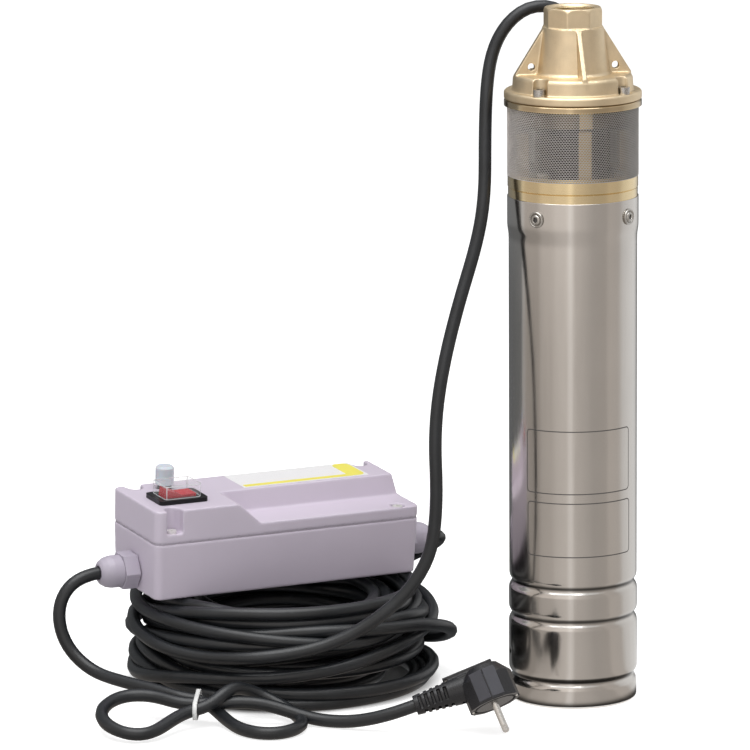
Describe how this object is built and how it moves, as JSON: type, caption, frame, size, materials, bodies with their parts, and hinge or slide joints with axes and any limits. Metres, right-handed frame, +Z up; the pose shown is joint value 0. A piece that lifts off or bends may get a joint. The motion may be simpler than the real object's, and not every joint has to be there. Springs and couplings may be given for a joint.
{
  "type": "borehole submersible pump",
  "caption": "Slim borehole pump with a brass vortex head, mesh strainer and stainless motor, wired through a coiled cable to a grey control box with a mains plug.",
  "frame": {"origin": "centre of the motor's flat base on the floor", "axes": "+Z up the pump's axis towards its outlet, X through the two rope holes, -Y towards the plain front rib"},
  "size_m": [0.4065, 0.32, 0.4868],
  "materials": {
    "cast_brass": "fine cast and machined",
    "machined_brass": "machined",
    "stainless_sheet": "brushed",
    "stainless_fastener": "bright",
    "steel_shaft": "ground",
    "bearing_steel": "polished",
    "laminated_steel": "dark",
    "enamelled_copper": "enamelled",
    "cast_aluminium": "cast",
    "black_rubber": "matte",
    "cable_rubber": "satin",
    "seal_ceramic": "lapped",
    "seal_carbon": "matte",
    "box_plastic": "fine grain",
    "black_plastic": "satin",
    "clear_boot": "clear",
    "red_plastic": "gloss",
    "white_plastic": "satin",
    "capacitor_case": "satin",
    "terminal_plastic": "satin",
    "plug_rubber": "satin",
    "plated_brass": "plated"
  },
  "bodies": {
    "pump_set": {"delivery_head": "cast_brass", "head_screws": "stainless_fastener", "head_o_ring": "black_rubber", "suction_lantern": "cast_brass", "strainer": "stainless_sheet", "lantern_screws": "stainless_fastener", "motor_flange": "cast_brass", "flange_o_ring": "black_rubber", "casing_screws": "stainless_fastener", "motor_casing": "stainless_sheet", "stator_core": "laminated_steel", "stator_windings": "enamelled_copper", "upper_bearing_outer": "bearing_steel", "lower_bearing_outer": "bearing_steel", "bearing_bracket": "cast_aluminium", "bracket_o_ring": "black_rubber", "pressure_diaphragm": "black_rubber", "base_cover": "stainless_sheet", "seal_seat": "seal_ceramic", "cable_gland_nut": "cast_brass", "cable_gland_seal": "black_rubber", "lead_in_cable": "cable_rubber", "cable_foot_seal": "black_rubber", "box_base": "box_plastic", "box_lid": "box_plastic", "lid_gasket": "black_rubber", "lid_screws": "stainless_fastener", "switch_frame": "black_plastic", "switch_body": "black_plastic", "switch_boot": "clear_boot", "reset_breaker": "black_plastic", "capacitor": "capacitor_case", "terminal_block": "terminal_plastic", "gland_bodies": "box_plastic", "gland_nuts": "box_plastic", "gland_locknuts": "box_plastic", "pump_cable_drop": "cable_rubber", "pump_cable_coil": "cable_rubber", "pump_cable_tail": "cable_rubber", "mains_lead": "cable_rubber", "lead_tie": "white_plastic", "plug_body": "plug_rubber", "plug_pins": "plated_brass", "plug_earth_clips": "plated_brass"},
    "rotor": {"motor_shaft": "steel_shaft", "rotor_core": "laminated_steel", "upper_bearing_inner": "bearing_steel", "lower_bearing_inner": "bearing_steel", "upper_bearing_balls": "bearing_steel", "lower_bearing_balls": "bearing_steel", "impeller": "machined_brass", "impeller_key": "stainless_fastener", "impeller_nut": "stainless_fastener", "seal_head": "seal_carbon"},
    "rocker": {"switch_rocker": "red_plastic"},
    "reset": {"reset_button": "white_plastic"}
  },
  "joints": [
    {"name": "rotor_spin", "type": "hinge", "parent": "pump_set", "child": "rotor", "pos_m": [0, 0, 0.3], "axis": [0, 0, 1], "continuous": true},
    {"name": "switch_tilt", "type": "hinge", "parent": "pump_set", "child": "rocker", "pos_m": [-0.26904, 0.06476, 0.13958], "axis": [-0.2833, 0.9565, 0.0698], "range_deg": [-20, 0]},
    {"name": "reset_press", "type": "slide", "parent": "pump_set", "child": "reset", "axis": [-0.0198, 0.0669, -0.9976], "range_m": [0, 0.0025], "stiffness_N_per_m": 500}
  ]
}
